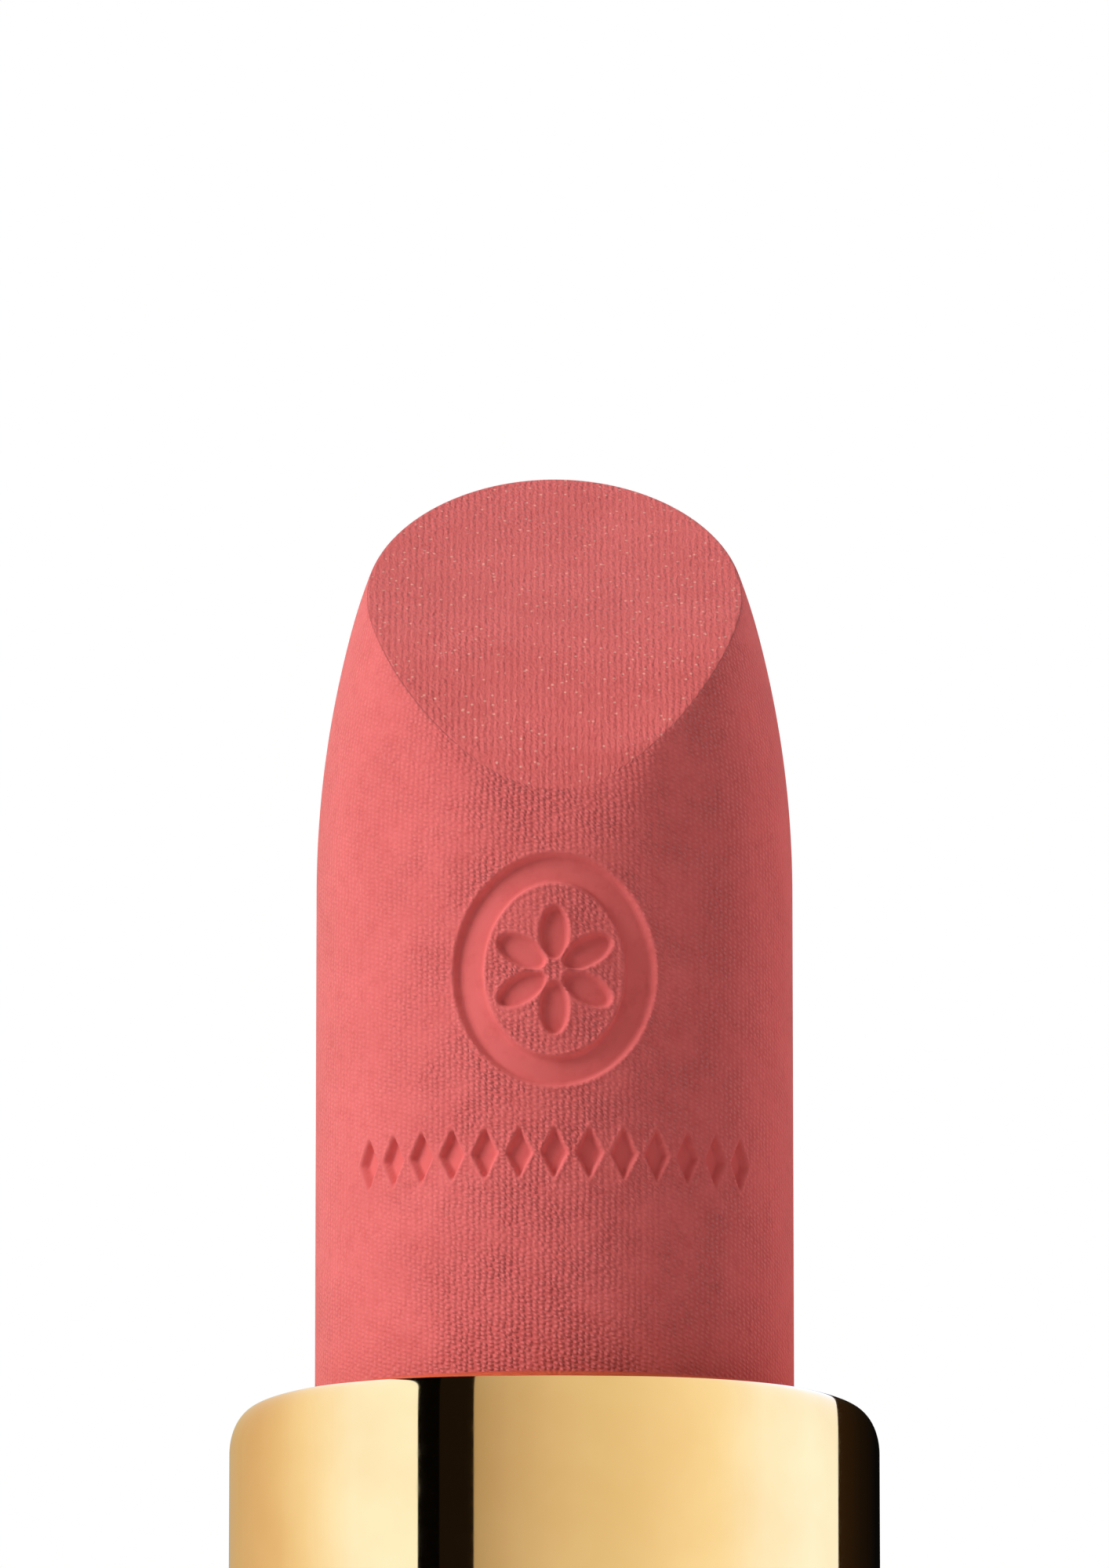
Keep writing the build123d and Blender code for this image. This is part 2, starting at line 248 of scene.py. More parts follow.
def face_distance(p):
    """How far above the slanted face a point is."""
    slope = np.array([math.cos(FACE_ANGLE), math.sin(FACE_ANGLE)])
    normal = np.array([-slope[1], slope[0]])
    bend = np.array([FACE_BEND_Y, FACE_Z + FACE_BEND_Y * math.tan(FACE_ANGLE)])
    centre = bend - normal * FACE_BEND_R
    yz = p[..., 1:]
    along = (yz - bend) @ slope
    line = (yz - bend) @ normal
    arc = np.linalg.norm(yz - centre, axis=-1) - FACE_BEND_R
    return np.where(along > 0, line, arc)


def edge_softness(p):
    """The width over which side and face blend: crisp, but worn soft at the front lip."""
    return EDGE_CRISP + EDGE_WORN * smoothstep(-p[..., 1], WORN_FROM, WORN_TO)


def stick_distance(p):
    """How far outside the whole stick a point is, with the edge of its face blended."""
    side, face, width = side_distance(p), face_distance(p), edge_softness(p)
    near = np.clip(width - np.abs(side - face), 0, None) / width
    return np.maximum(side, face) + near**2 * width / 4


def settled(points):
    """Points moved on to the blended surface of side and face."""
    step = 1e-4
    for _ in range(4):
        value = stick_distance(points)
        slope = np.stack([
            (stick_distance(points + step * axis) - value) / step for axis in np.eye(3)
        ], axis=-1)
        length = np.clip((slope**2).sum(-1), 0.2, None)
        points = points - slope * (value / length)[..., None]
    return points


def ellipse_distance(x, y, a, b):
    """About how far outside an ellipse with half-widths a and b a point is."""
    k0 = np.hypot(x / a, y / b)
    k1 = np.hypot(x / a**2, y / b**2) + 1e-9
    return k0 * (k0 - 1) / k1


def petals_distance(x, y, middle, half_width, half_length):
    """How far outside the nearest petal a point is. middle is from the flower's centre to
    the middle of a petal."""
    nearest = np.full(np.shape(x), FAR)
    for i in range(PETALS):
        a = 2 * math.pi * i / PETALS
        across = x * math.cos(a) - y * math.sin(a)
        along = x * math.sin(a) + y * math.cos(a) - middle
        nearest = np.minimum(nearest, ellipse_distance(across, along, half_width, half_length))
    return nearest


def mark_distance(angle, z):
    """How far outside the nearest pressed mark a place on the stick's side is."""
    x, y = STICK_R * np.sin(angle), z - EMBLEM_Z
    outer = ellipse_distance(x, y, EMBLEM_W / 2, EMBLEM_H / 2)
    inner = ellipse_distance(x, y, EMBLEM_W / 2 - RING_W, EMBLEM_H / 2 - RING_W)
    petals = petals_distance(x, y, PETAL_IN + PETAL_L / 2, PETAL_W / 2, PETAL_L / 2)
    nearest = np.minimum(np.maximum(outer, -inner), petals)
    nearest = np.where(np.cos(angle) > 0, nearest, FAR)
    slant = math.hypot(LOZENGE_W, LOZENGE_H)
    for i in range(ROW_COUNT):
        a = ROW_HALF_ANGLE * (2 * i / (ROW_COUNT - 1) - 1)
        across = np.abs(STICK_R * np.sin(angle - a))
        up = np.abs(z - ROW_Z)
        lozenge = (across * LOZENGE_H + up * LOZENGE_W - LOZENGE_W * LOZENGE_H / 2) / slant
        nearest = np.minimum(nearest, np.where(np.cos(angle - a) > 0, lozenge, FAR))
    return nearest


def mark_depth(distance):
    """Wax pushed in inside a mark, and a little pushed up along its edge."""
    pushed = MARK_DEPTH * (1 - smoothstep(distance, -MARK_WALL, MARK_WALL))
    lip = MARK_LIP * np.exp(-((distance - 1.7 * MARK_WALL) / MARK_WALL)**2)
    return pushed - lip


def spaced(low, high, step):
    """Places from low up to, but without, high, about a step apart."""
    return np.linspace(low, high, max(2, round((high - low) / step) + 1))[:-1]


def on_side(radius, angle, z):
    """Points at angles round the axis, counted from the front."""
    return np.stack([radius * np.sin(angle), -radius * np.cos(angle), z], axis=-1)


def border_heights(angles):
    """The height at which the stick's side meets its face, at each angle, by halving."""
    low = np.full(angles.shape, OGIVE_Z)
    high = np.full(angles.shape, stick_high.z + 3.0)
    for _ in range(50):
        middle = (low + high) / 2
        below = face_distance(on_side(ogive_radius(middle), angles, middle)) < 0
        low, high = np.where(below, middle, low), np.where(below, high, middle)
    return (low + high) / 2


def face_points(border, rows=40):
    """Rings of points on the slanted face, closing in from its border to its middle point."""
    middle = [0, FACE_MIDDLE_Y]
    share = 1 - (np.arange(1, rows) / rows) ** 1.5
    inner = np.array(middle) + (border - middle)[:, None, :] * share[None, :, None]
    z = np.full(inner.shape[:2], FACE_Z)
    for _ in range(40):
        z = z - face_distance(np.concatenate([inner, z[..., None]], axis=-1)) * 0.8
    return np.concatenate([inner, z[..., None]], axis=-1)


def build_stick():
    """The wax stick in columns of points round its axis: its foot, its side with the pressed
    marks, and its slanted face."""
    front = ROW_HALF_ANGLE + math.radians(5)
    angles = np.concatenate([
        spaced(-front, front, FINE / STICK_R),
        spaced(front, 2 * math.pi - front, math.radians(3)),
    ])
    row_top, row_low = ROW_Z + 0.85, ROW_Z - 0.85
    emblem_low = EMBLEM_Z - EMBLEM_H / 2 - 0.25
    body_top = OGIVE_Z + 0.2
    heights = np.concatenate([
        [STICK_FOOT + STICK_EDGE], spaced(STICK_FOOT + 1, row_low, 0.6),
        spaced(row_low, row_top, FINE), spaced(row_top, emblem_low, 0.12),
        spaced(emblem_low, body_top, FINE), [body_top],
    ])
    upper_rows = 54
    share = (1 - np.arange(1, upper_rows + 1) / upper_rows) ** 1.6
    border_z = border_heights(angles)
    upper_z = border_z[:, None] - (border_z - body_top)[:, None] * share[None, :]
    side_z = np.hstack([np.tile(heights, (len(angles), 1)), upper_z])
    side_a = np.tile(angles[:, None], (1, side_z.shape[1]))
    side = on_side(ogive_radius(side_z), side_a, side_z)
    side_rows = side_z.shape[1]

    surface = np.concatenate([side, face_points(side[:, -1, :2])], axis=1)
    shaped = len(heights) - 1
    surface[:, shaped:] = settled(surface[:, shaped:])

    distance = mark_distance(side_a, side_z)
    depth = np.where(side_z < OGIVE_Z, mark_depth(distance), 0)
    outward = on_side(1.0, side_a, np.zeros_like(side_a))
    surface[:, :side_rows] -= outward * depth[..., None]

    foot = on_side(STICK_R - STICK_EDGE, angles, np.full(angles.shape, STICK_FOOT))
    surface = np.concatenate([foot[:, None, :], surface], axis=1)
    tip_z = FACE_Z + FACE_MIDDLE_Y * math.tan(FACE_ANGLE)
    tip = settled(np.array([[0, FACE_MIDDLE_Y, tip_z]]))
    points = np.vstack([surface.reshape(-1, 3), [[0, 0, STICK_FOOT]], tip])
    columns, rows = surface.shape[:2]
    faces = capped_faces(columns, rows)
    stick = mesh_piece("stick_wax", points, faces, "carrier", ["bullet"])

    # how much of the grain each point keeps: none on the smooth floors of the marks
    grain = np.ones((columns, rows))
    grain[:, 1:1 + side_rows] = smoothstep(distance, -0.02, 0.16)
    on_face = np.zeros((columns, rows))
    on_face[:, 1 + side_rows:] = 1
    for name, values, foot_and_tip in (("grain", grain, [1, 1]), ("on_face", on_face, [0, 1])):
        layer = stick.data.attributes.new(name, "FLOAT", "POINT")
        layer.data.foreach_set("value", np.concatenate([values.ravel(), foot_and_tip]))
    return stick


# ---- materials ----------------------------------------------------------------------------
class Shader:
    """A material's node tree, with short calls for the nodes used here."""

    def __init__(self, name):
        self.material = bpy.data.materials.new(name)
        self.material.use_nodes = True
        self.tree = self.material.node_tree
        self.surface = self.tree.nodes["Principled BSDF"]

    def add(self, kind, inputs=None, **settings):
        """A new node, with its settings, and its inputs given as values or sockets."""
        node = self.tree.nodes.new("ShaderNode" + kind)
        for key, value in settings.items():
            setattr(node, key, value)
        for key, value in (inputs or {}).items():
            self.put(node.inputs[key], value)
        return node

    def put(self, socket, value):
        if isinstance(value, bpy.types.NodeSocket):
            self.tree.links.new(value, socket)
        else:
            socket.default_value = value

    def set(self, **values):
        """Inputs of the surface itself, with _ for a space in their names."""
        for key, value in values.items():
            self.put(self.surface.inputs[key.replace("_", " ")], value)

    def math(self, operation, a, b=0.0, c=0.0):
        node = self.add("Math", operation=operation)
        for i, value in enumerate((a, b, c)):
            self.put(node.inputs[i], value)
        return node.outputs[0]

    def position(self):
        """X, Y and Z of the piece's own points, in millimetres."""
        where = self.add("TexCoord").outputs["Object"]
        scaled = self.add("VectorMath", {0: where}, operation="SCALE")
        scaled.inputs["Scale"].default_value = 1 / MM
        self.place = scaled.outputs[0]
        parts = self.add("SeparateXYZ", {0: self.place})
        return parts.outputs[0], parts.outputs[1], parts.outputs[2]

    def noise(self, scale, detail=2.0, roughness=0.5, vector=None):
        node = self.add("TexNoise", {
            "Vector": vector or self.place, "Scale": scale, "Detail": detail,
            "Roughness": roughness,
        })
        return node.outputs["Fac"]

    def ranged(self, value, low, high, to_low=0.0, to_high=1.0):
        node = self.add("MapRange", {
            "Value": value, "From Min": low, "From Max": high, "To Min": to_low,
            "To Max": to_high,
        })
        return node.outputs[0]

    def varied(self, noise, low=0.0, high=1.0):
        """A noise, whose values lie mostly between 0.3 and 0.7, spread from low to high."""
        return self.ranged(noise, 0.3, 0.7, low, high)

    def mix(self, factor, a, b):
        """A colour between a and b, each an (r, g, b) or a socket."""
        node = self.add("Mix", data_type="RGBA")
        self.put(node.inputs["Factor"], factor)
        self.put(node.inputs["A"], (*a, 1) if isinstance(a, tuple) else a)
        self.put(node.inputs["B"], (*b, 1) if isinstance(b, tuple) else b)
        return node.outputs["Result"]

    def bump(self, height, strength, distance_mm):
        node = self.add("Bump", {
            "Height": height, "Strength": strength, "Distance": distance_mm * MM,
        })
        self.set(Normal=node.outputs[0])


def wax():
    """Matte rose wax with a velvet grain: columns of tiny beads at the front, fine grain at
    the sides, broken upright ribs on the face, and smooth floors in the pressed marks."""
    s = Shader("velvet_wax")
    x, y, z = s.position()
    angle = s.math("ARCTAN2", x, s.math("MULTIPLY", y, -1.0))
    on_face = s.add("Attribute", attribute_name="on_face").outputs["Fac"]
    keep = s.add("Attribute", attribute_name="grain").outputs["Fac"]
    off_face = s.math("SUBTRACT", 1.0, on_face)

    # place on the surface in pitches of the grain, a little disturbed
    wobble = s.math("MULTIPLY", s.math("SUBTRACT", s.noise(2.6, 2.0), 0.5), 0.09)
    across = s.math("ADD", s.math("MULTIPLY", s.math("MULTIPLY", angle, STICK_R), off_face),
                    s.math("MULTIPLY", x, on_face))
    u = s.math("DIVIDE", s.math("ADD", across, wobble), GRAIN_ACROSS)
    v = s.math("DIVIDE", s.math("ADD", z, s.math("MULTIPLY", wobble, 0.8)), GRAIN_ALONG)
    v = s.math("ADD", v, s.math("MULTIPLY", u, 0.5))
    lattice = s.add("CombineXYZ", {"X": u, "Y": v}).outputs[0]
    cells = s.add("TexVoronoi", {"Vector": lattice, "Scale": 1.0, "Randomness": 0.38},
                  voronoi_dimensions="2D")
    beads = s.ranged(cells.outputs["Distance"], 0.05, 0.5, 1.5, -0.9)

    # ribs on the face, broken into short lengths
    runs = s.add("CombineXYZ", {
        "X": s.math("MULTIPLY", u, 1.6), "Y": s.math("MULTIPLY", z, 3.6),
    }).outputs[0]
    broken = s.ranged(s.noise(1.0, 2.0, 0.6, runs), 0.42, 0.58, -0.15, 1.0)
    ribs = s.math("MULTIPLY", s.math("COSINE", s.math("MULTIPLY", u, 2 * math.pi)), broken)

    # the beads come and go in patches and are faintest at the left
    patches = s.ranged(s.noise(0.8, 2.0), 0.35, 0.65, 0.5, 1.2)
    sidelong = s.math("ABSOLUTE", s.math("SUBTRACT", angle, 0.15))
    fade = s.ranged(sidelong, 0.35, 1.05, 1.0, 0.35)
    share = s.math("ADD", s.math("MULTIPLY", fade, off_face), s.math("MULTIPLY", on_face, 0.32))
    strength = s.math("MULTIPLY", patches, share)
    grit = s.math("SUBTRACT", s.noise(9.0, 3.0, 0.7), 0.5)
    relief = s.math("ADD", s.math("MULTIPLY", beads, strength), s.math("MULTIPLY", grit, 1.5))
    relief = s.math("ADD", relief, s.math("MULTIPLY", ribs, s.math("MULTIPLY", on_face, 0.34)))
    relief = s.math("MULTIPLY", relief, keep)
    s.bump(relief, 1.0, 0.02)

    # colour: clouds and small blotches, painted shade between the beads, a painted highlight on
    # their tops, and stray pale specks
    slow, blotch = s.noise(0.55, 4.0), s.noise(2.4, 3.0, 0.6)
    colour = s.mix(s.varied(slow), (0.74, 0.150, 0.142), (0.81, 0.174, 0.166))
    colour = s.mix(s.ranged(blotch, 0.5, 0.75, 0.0, 0.35), colour, (0.60, 0.090, 0.083))
    # painted shade: the wax is darkened where the relief is low, in the hollows between the beads
    # and ribs
    colour = s.mix(s.ranged(relief, -1.6, 0.4, 0.4, 0.0), colour, (0.52, 0.055, 0.050))
    # painted highlight: the wax is lightened where the relief is high, on the tops of the beads
    colour = s.mix(s.ranged(relief, 0.7, 1.9, 0.0, 0.3), colour, (0.93, 0.32, 0.30))
    dots = s.add("TexVoronoi", {"Vector": s.place, "Scale": 4.2, "Randomness": 1.0})
    speck = s.ranged(dots.outputs["Distance"], 0.11, 0.19, 0.7, 0.0)
    speck = s.math("MULTIPLY", speck, s.math("ADD", s.math("MULTIPLY", on_face, 0.7), 0.12))
    colour = s.mix(s.math("MULTIPLY", speck, keep), colour, (0.98, 0.52, 0.42))
    s.set(Base_Color=colour)
    s.set(Roughness=s.varied(slow, 0.60, 0.70))
    s.set(Specular_IOR_Level=0.06, Sheen_Weight=0.2, Sheen_Roughness=0.4)
    s.set(Sheen_Tint=(1.0, 0.86, 0.84, 1.0))
    return s.material


def gold(name, lines=0.0):
    """Polished gold-anodised aluminium: faint clouds in the dye, and turning lines that can
    only just be seen. lines makes them stronger."""
    s = Shader(name)
    z = s.position()[2]
    cloud = s.noise(0.35, 3.0)
    colour = s.mix(s.varied(cloud), (0.90, 0.585, 0.245), (0.95, 0.655, 0.295))
    s.set(Base_Color=colour, Metallic=1.0)
    s.set(Roughness=s.varied(s.noise(3.0, 3.0), 0.03, 0.05))
    flat = s.add("CombineXYZ", {"Z": z}).outputs[0]
    turning = s.noise(22.0, 2.0, 0.5, flat)
    s.bump(turning, 0.02 + lines, 0.002)
    return s.material


def satin_gold():
    """Gold-anodised aluminium with a turned satin face."""
    s = Shader("gold_medallion")
    s.position()
    from_axis = s.add("VectorMath", {0: s.place, 1: (*CAP_CENTRE, 0.0)}, operation="SUBTRACT")
    flat = s.add("VectorMath", {0: from_axis.outputs[0], 1: (1, 1, 0)}, operation="MULTIPLY")
    radius = s.add("VectorMath", {0: flat.outputs[0]}, operation="LENGTH").outputs["Value"]
    rings = s.add("CombineXYZ", {"X": radius}).outputs[0]
    cloud = s.noise(0.4, 3.0)
    s.set(Base_Color=s.mix(cloud, (0.86, 0.56, 0.235), (0.95, 0.66, 0.31)), Metallic=1.0)
    s.set(Roughness=s.varied(s.noise(16.0, 2.0, 0.5, rings), 0.22, 0.34))
    s.bump(s.noise(24.0, 2.0, 0.5, rings), 0.15, 0.004)
    return s.material


def lacquer(name):
    """Black lacquer over metal: a deep clear coat, faint orange peel and stray dust."""
    s = Shader(name)
    s.position()
    cloud = s.noise(0.25, 3.0)
    colour = s.mix(cloud, (0.006, 0.006, 0.007), (0.014, 0.013, 0.015))
    dust = s.ranged(s.noise(7.0, 1.0), 0.74, 0.82, 0.0, 0.25)
    s.set(Base_Color=s.mix(dust, colour, (0.10, 0.10, 0.10)))
    s.set(Roughness=s.varied(s.noise(1.5, 3.0), 0.10, 0.18))
    s.set(Coat_Weight=1.0, Coat_Roughness=0.03, Coat_IOR=1.4, Specular_IOR_Level=0.15)
    s.bump(s.noise(1.3, 2.0), 0.06, 0.02)
    return s.material


def moulded(name, dark, light, roughness, grain_scale=5.0):
    """Injection-moulded plastic: slight flow clouds and a fine spark-eroded grain."""
    s = Shader(name)
    s.position()
    s.set(Base_Color=s.mix(s.varied(s.noise(0.4, 3.0)), dark, light))
    s.set(Roughness=s.varied(s.noise(2.5, 3.0), roughness, roughness + 0.12))
    s.bump(s.noise(grain_scale, 3.0, 0.6), 0.15, 0.01)
    return s.material


def turned_steel():
    """Bare steel discs with the rings that the lathe leaves."""
    s = Shader("turned_steel")
    x, y, z = s.position()
    radius = s.math("SQRT", s.math("ADD", s.math("MULTIPLY", x, x), s.math("MULTIPLY", y, y)))
    rings = s.add("CombineXYZ", {"X": radius, "Y": z}).outputs[0]
    s.set(Base_Color=s.mix(s.noise(0.5, 3.0), (0.42, 0.42, 0.43), (0.60, 0.59, 0.58)))
    s.set(Metallic=1.0, Roughness=s.varied(s.noise(9.0, 2.0, 0.5, rings), 0.25, 0.45))
    s.bump(s.noise(14.0, 2.0, 0.5, rings), 0.2, 0.01)
    return s.material


def label_paper():
    """Blank uncoated paper, a little mottled."""
    s = Shader("label_paper")
    s.position()
    s.set(Base_Color=s.mix(s.noise(3.0, 4.0), (0.80, 0.79, 0.76), (0.90, 0.89, 0.86)))
    s.set(Roughness=s.varied(s.noise(5.0, 3.0), 0.6, 0.8))
    s.bump(s.noise(12.0, 3.0, 0.7), 0.2, 0.01)
    return s.material


def paint(piece, material):
    piece.data.materials.clear()
    piece.data.materials.append(material)


# ---- the case's pieces --------------------------------------------------------------------
def ring_groove(middle):
    """Outline corners, from below, of the line turned round a gold ring."""
    wide, deep = GROOVE_W / 2, GROOVE_FLOOR_W / 2
    return [
        (CASE_R, middle - wide, 0.03), (CASE_R - GROOVE_D, middle - deep, 0.03),
        (CASE_R - GROOVE_D, middle + deep, 0.03), (CASE_R, middle + wide, 0.03),
    ]


def build_sleeve():
    """The gold sleeve that the stick comes out of."""
    inside = SLEEVE_R - SLEEVE_WALL
    foot_r, step_z = SLEEVE_R - SLEEVE_FOOT_IN, trim_high.z + SLEEVE_STEP_UP
    shoulder = [
        (SLEEVE_R - SHOULDER_R * (1 - math.cos(a)), RIM_Z - SHOULDER_H * (1 - math.sin(a)))
        for a in np.linspace(0, math.pi / 2, 33)
    ]
    straight = [(SLEEVE_R, step_z + up) for up in (0, 0.05)]
    straight += [(SLEEVE_R, RIM_Z - SHOULDER_H - gap) for gap in (0.3, 0.02)]
    outline = straight + shoulder + rounded_outline([
        (LIP_R, RIM_Z, 0.1), (LIP_R, RIM_Z - LIP_T, 0), (inside, RIM_Z - LIP_T, 0),
        (inside, sleeve_low.z, 0), (foot_r, sleeve_low.z, 0), (foot_r, step_z, 0),
    ])
    return turned("sleeve_gold", outline, "turning_sleeve", ["sleeve"], segments=256)


def build_base():
    """The lacquered cup of the base, with the label's recess under it."""
    inside, top = CASE_R - SHEET, shell_high.z
    outline = rounded_outline([
        (LABEL_R, 0, BREAK), (CASE_R, 0, EDGE_R), (CASE_R, top, BREAK), (inside, top, 0.05),
        (inside, BASE_FLOOR, EDGE_R - SHEET), (END_HOLE_R, BASE_FLOOR, 0),
        (END_HOLE_R, LABEL_RECESS, 0), (LABEL_R, LABEL_RECESS, 0.05),
    ], steps=12)
    return turned("base_lacquer", outline, "base", ["base_shell"])


def build_trim():
    """The gold ring on the base, with a spigot down inside the base's cup."""
    bore, spigot = SLEEVE_R + TRIM_GAP, CASE_R - SPIGOT_IN
    foot, shelf, top = trim_low.z, shell_high.z, trim_high.z
    outline = rounded_outline([
        (bore, foot, 0), (spigot, foot, 0), (spigot, shelf, 0), (CASE_R, shelf, 0.06),
        *ring_groove(shelf + GROOVE_OFF), (CASE_R, top, RING_EDGE), (bore, top, 0.2),
    ])
    return turned("trim_gold", outline, "base", ["trim_ring"])


def build_cap():
    """The lacquered cup of the cap, with the seat of the disc in its end."""
    inside, low, top = CASE_R - SHEET, cap_low.z, cap_high.z
    seat, seat_z, roof = DISC_R + SEAT_GAP, disc_low.z, cap_high.z - CAP_TOP_T
    outline = rounded_outline([
        (inside, low, 0.05), (CASE_R, low, BREAK), (CASE_R, top, EDGE_R), (seat, top, BREAK),
        (seat, seat_z, 0), (END_HOLE_R, seat_z, 0), (END_HOLE_R, roof, 0), (inside, roof, 0.3),
    ], steps=12)
    return turned("cap_lacquer", outline, "cap", ["cap_shell"], CAP_CENTRE)


def build_band():
    """The gold ring round the cap's mouth, with a spigot up inside the cap's cup."""
    spigot = CASE_R - SPIGOT_IN
    foot, shelf, top = band_low.z, cap_low.z, band_high.z
    outline = rounded_outline([
        (BAND_IN, foot, 0.15), (CASE_R, foot, RING_EDGE), *ring_groove(shelf - GROOVE_OFF),
        (CASE_R, shelf, 0.06), (spigot, shelf, 0), (spigot, top, 0), (BAND_IN, top, 0),
    ])
    return turned("cap_band_gold", outline, "cap", ["cap_band"], CAP_CENTRE)


def build_medallion():
    """The disc in the cap's end: a dished ring round a flower of six petals."""
    top, foot = disc_high.z, disc_low.z
    dish_in, dish_out, dish_slope, dish_depth = 3.3, 6.5, 0.3, 0.14
    field_r, field_slope, field_depth, petal_height = 3.15, 0.15, 0.2, 0.18
    outline = [(0, foot), (DISC_R - 0.05, foot), (DISC_R, foot + 0.05), (DISC_R, top - 0.1)]
    outline += [(DISC_R - 0.04, top - 0.04)]
    outline += [(radius, top) for radius in np.linspace(DISC_R - 0.12, 0.06, 110)]
    outline += [(0, top)]

    def lift(x, y, heights):
        """How far the top of the disc is raised at each place. Its edge and foot stay."""
        radius = np.hypot(x, y)
        dish = smoothstep(radius, dish_in, dish_in + dish_slope)
        dish = dish * (1 - smoothstep(radius, dish_out - dish_slope, dish_out))
        field = 1 - smoothstep(radius, field_r - field_slope, field_r)
        petal = petals_distance(x, y, 1.55, 0.55, 1.1)
        raised = 1 - smoothstep(petal, -0.25, 0.03)
        lifted = field * (petal_height * raised - field_depth) - dish_depth * dish
        return np.where(heights > top - 1e-6, lifted, 0)

    return solid_disc("cap_medallion", outline, lift, "cap", ["cap_top_disc"], CAP_CENTRE)


# ---- stage --------------------------------------------------------------------------------
CAMERA_DISTANCE = 330.0
VIEW_UP = math.radians(8.0)      # how steeply the camera looks up at the rim's front
AIM_UP = 16.13           # what is in the middle of the picture, above the rim
FOCAL = 302.5
SENSOR = 36.0
LOOK = Vector((0, math.cos(VIEW_UP), math.sin(VIEW_UP)))
CARD_R = 400.0           # distance of the reflecting cards from the case
FLOOR_HALF = 3000.0


def card(name, turn_from, turn_to, low, tops, corner, stops):
    """A glowing card that only mirrors see, bent so that its picture in the gold collar has
    upright sides that run on over the collar's shoulder. Its extent is given on the collar,
    in degrees: turned round from the front, + to the right, and tilted up over the shoulder.
    tops are (turn, tilt) places along its upper edge, whose right-hand corner is rounded;
    stops are (turn, colour) places, between which its colour runs smoothly."""
    columns, rows = 120, 80
    places = [stop[0] for stop in stops]
    tones = np.array([stop[1] for stop in stops])
    top_turns, top_tilts = zip(*tops)
    points, colours, faces = [], [], []
    for i in range(rows + 1):
        share = i / rows
        depth = max(0.0, share - (1 - corner[1])) / corner[1]
        last = turn_to - corner[0] * (1 - math.sqrt(1 - min(1.0, depth)**2))
        for k in range(columns + 1):
            turn = turn_from + (last - turn_from) * k / columns
            tilt = math.radians(low + (np.interp(turn, top_turns, top_tilts) - low) * share)
            round_in = math.atan(math.tan(max(tilt, 0)) * SHOULDER_H / SHOULDER_R)
            radius = SLEEVE_R - SHOULDER_R * (1 - math.cos(round_in))
            side = max(-1.0, min(1.0, math.sin(math.radians(turn)) * SLEEVE_R / radius))
            front = -math.sqrt(1 - side**2)
            normal = Vector((side * math.cos(tilt), front * math.cos(tilt), math.sin(tilt)))
            away = LOOK - 2 * LOOK.dot(normal) * normal
            points.append(Vector((side * radius, front * radius, RIM_Z)) + away * CARD_R)
            colours.append([np.interp(turn, places, tones[:, c]) for c in range(3)] + [1.0])
            if i < rows and k < columns:
                n = i * (columns + 1) + k
                faces.append((n, n + 1, n + columns + 2, n + columns + 1))
    piece = mesh_piece(name, points, faces, None)
    layer = piece.data.color_attributes.new("tone", "FLOAT_COLOR", "POINT")
    layer.data.foreach_set("color", np.array(colours).ravel())
    s = Shader(name)
    tone = s.add("Attribute", attribute_name="tone")
    glow = s.add("Emission", {"Color": tone.outputs["Color"], "Strength": 1.0})
    s.put(s.tree.nodes["Material Output"].inputs["Surface"], glow.outputs[0])
    paint(piece, s.material)
    piece.visible_camera = piece.visible_diffuse = piece.visible_shadow = False


def background(tree, colour, strength):
    node = tree.nodes.new("ShaderNodeBackground")
    node.inputs["Color"].default_value = (*colour, 1)
    node.inputs["Strength"].default_value = strength
    return node.outputs[0]


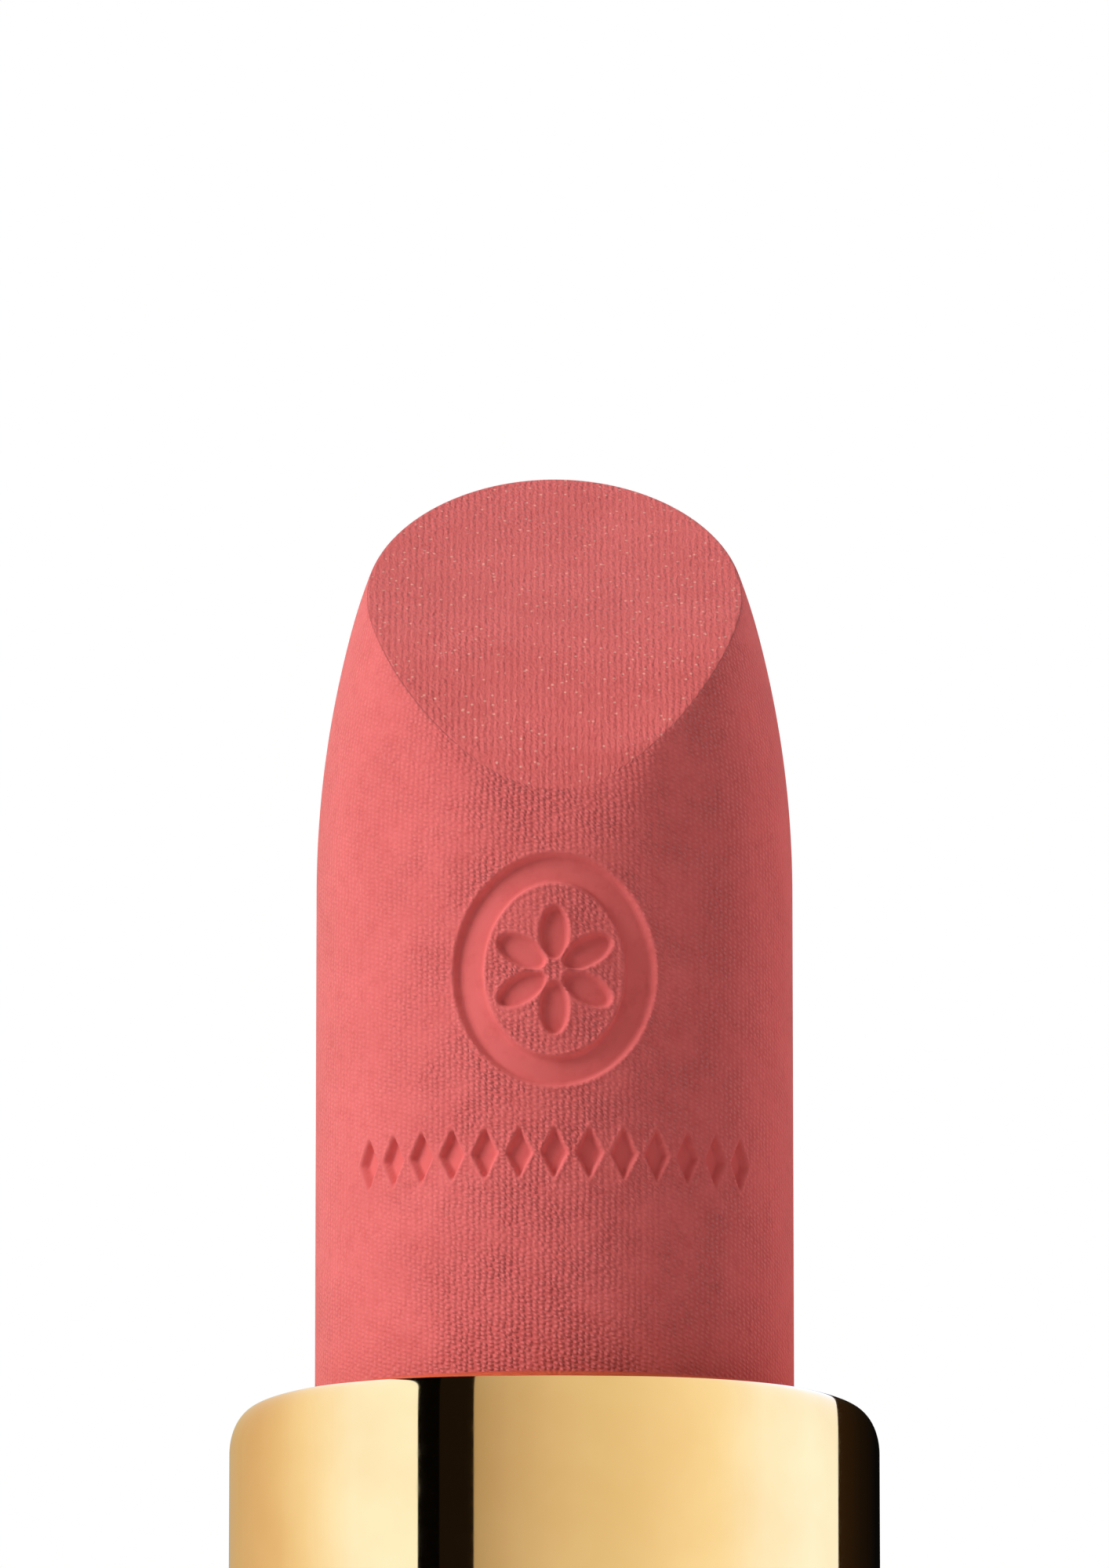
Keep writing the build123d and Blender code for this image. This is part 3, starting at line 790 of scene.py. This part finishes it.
def build_stage():
    """The cards that the gold reflects, the floor, and a world that is white to look at, a
    soft fill on matte surfaces, and nearly black in mirrors."""
    bright = (1.1, 1.33, 1.8)
    card("card_left", -90, -24.6, -40, [(-42, 80), (-24.6, 40)], (2.0, 0.16), [
        (-90, (0.55, 0.42, 0.25)), (-77, (0.69, 0.545, 0.32)), (-65, (0.79, 0.66, 0.49)),
        (-57, (0.885, 0.79, 0.66)), (-50, (1.0, 0.99, 0.95)), (-44, (1.07, 1.18, 1.35)),
        (-38, bright), (-24, bright),
    ])
    card("card_right", -14.2, 60.2, -40, [(0, 86)], (1.6, 0.08), [
        (-14, (0.50, 0.45, 0.375)), (-8, (0.64, 0.585, 0.52)), (0, (0.765, 0.715, 0.63)),
        (10, (0.85, 0.82, 0.72)), (22, (0.99, 0.99, 0.95)), (30, (1.06, 1.12, 1.15)),
        (40, (1.1, 1.32, 1.8)), (52, (1.1, 1.4, 2.05)), (60, (1.1, 1.36, 1.9)),
    ])
    card("card_rim", -29, -14.2, 71, [(0, 88)], (0.1, 0.1), [(0, (0.95, 0.9, 0.75))])
    card("gap_left", -20.5, -14.2, -40, [(0, 60)], (0.1, 0.1), [(0, (0.011, 0.008, 0.006))])
    card("gap_right", 60.2, 89, -40, [(0, 86)], (0.1, 0.1), [
        (60, (0.028, 0.017, 0.009)), (70, (0.012, 0.008, 0.005)), (80, (0.003, 0.003, 0.003)),
    ])

    corners = [(x * FLOOR_HALF, y * FLOOR_HALF, 0) for x, y in ((-1, -1), (1, -1), (1, 1), (-1, 1))]
    floor = mesh_piece("floor", corners, [(0, 1, 2, 3)], None)
    s = Shader("pale_floor")
    s.set(Base_Color=(0.93, 0.93, 0.93, 1), Roughness=0.7, Specular_IOR_Level=0.2)
    paint(floor, s.material)

    world = bpy.data.worlds.new("studio")
    SCENE.world = world
    world.use_nodes = True
    tree = world.node_tree
    tree.nodes.clear()
    path = tree.nodes.new("ShaderNodeLightPath")
    fill = background(tree, (1.0, 0.84, 0.80), 0.13)
    dark = background(tree, (1.0, 0.85, 0.7), 0.0015)
    white = background(tree, (1, 1, 1), 1.0)
    for_mirrors, for_camera = (tree.nodes.new("ShaderNodeMixShader") for _ in range(2))
    output = tree.nodes.new("ShaderNodeOutputWorld")
    for source, socket in (
        (path.outputs["Is Glossy Ray"], for_mirrors.inputs[0]),
        (fill, for_mirrors.inputs[1]), (dark, for_mirrors.inputs[2]),
        (path.outputs["Is Camera Ray"], for_camera.inputs[0]),
        (for_mirrors.outputs[0], for_camera.inputs[1]), (white, for_camera.inputs[2]),
        (for_camera.outputs[0], output.inputs[0]),
    ):
        tree.links.new(source, socket)


def soft_light(name, azimuth, elevation, spread, strength, colour):
    """A broad far light, spread degrees wide. Mirrors see the cards in place of it."""
    lamp = bpy.data.lights.new(name, "SUN")
    lamp.angle = math.radians(spread)
    lamp.energy = strength
    lamp.color = colour
    light = bpy.data.objects.new(name, lamp)
    SCENE.collection.objects.link(light)
    a, e = math.radians(azimuth), math.radians(elevation)
    away = Vector((math.sin(a) * math.cos(e), -math.cos(a) * math.cos(e), math.sin(e)))
    light.rotation_euler = away.to_track_quat("Z", "Y").to_euler()
    light.visible_glossy = False


def build_camera():
    """In front, below the rim's plane, looking up at the stick. The line at which it sees
    the rim's front edge is the one that the cards are made for."""
    rim_front = SLEEVE_R - SHOULDER_R
    down = (CAMERA_DISTANCE - rim_front) * math.tan(VIEW_UP)
    place = Vector((0, -CAMERA_DISTANCE, RIM_Z - down))
    data = bpy.data.cameras.new("camera")
    data.lens = FOCAL
    data.sensor_width = SENSOR
    data.clip_start, data.clip_end = 0.01, 20.0
    camera = bpy.data.objects.new("camera", data)
    SCENE.collection.objects.link(camera)
    camera.location = place * MM
    aim = Vector((0, 0, RIM_Z + AIM_UP)) - place
    camera.rotation_euler = aim.to_track_quat("-Z", "Y").to_euler()
    SCENE.camera = camera


# ---- putting it together ------------------------------------------------------------------
build_camera()
build_stage()
soft_light("key", -66, 25, 36, 2.72, (1.0, 1.06, 1.08))
soft_light("rim", 135, 10, 18, 1.32, (1.0, 0.48, 0.44))
soft_light("warm_fill", 80, 5, 29, 0.34, (1.0, 0.27, 0.23))
soft_light("top", -10, 70, 29, 0.50, (1.0, 0.97, 0.96))
SCENE.view_settings.view_transform = "Standard"

paint(build_stick(), wax())
paint(build_sleeve(), gold("gold_sleeve"))
ring_gold = gold("gold_trim", 0.02)
for build in (build_trim, build_band):
    paint(build(), ring_gold)
paint(build_medallion(), satin_gold())
shell_lacquer = lacquer("black_lacquer")
for build in (build_base, build_cap):
    paint(build(), shell_lacquer)

ivory = moulded("ivory_acetal", (0.80, 0.77, 0.69), (0.88, 0.86, 0.80), 0.32)
black = moulded("black_abs", (0.012, 0.012, 0.013), (0.025, 0.025, 0.027), 0.35)
natural = moulded("natural_polypropylene", (0.84, 0.84, 0.82), (0.92, 0.92, 0.91), 0.28)
silicone = moulded("silicone", (0.58, 0.58, 0.58), (0.70, 0.70, 0.69), 0.6, 9.0)
steel, paper = turned_steel(), label_paper()
for name, material in {
    "base_insert": black, "base_weight": steel, "shade_label": paper, "inner_body": ivory,
    "brake_washer": silicone, "cam_tube": natural, "cup": ivory, "cap_liner": black,
    "cap_weight": steel,
}.items():
    paint(nodes[name], material)
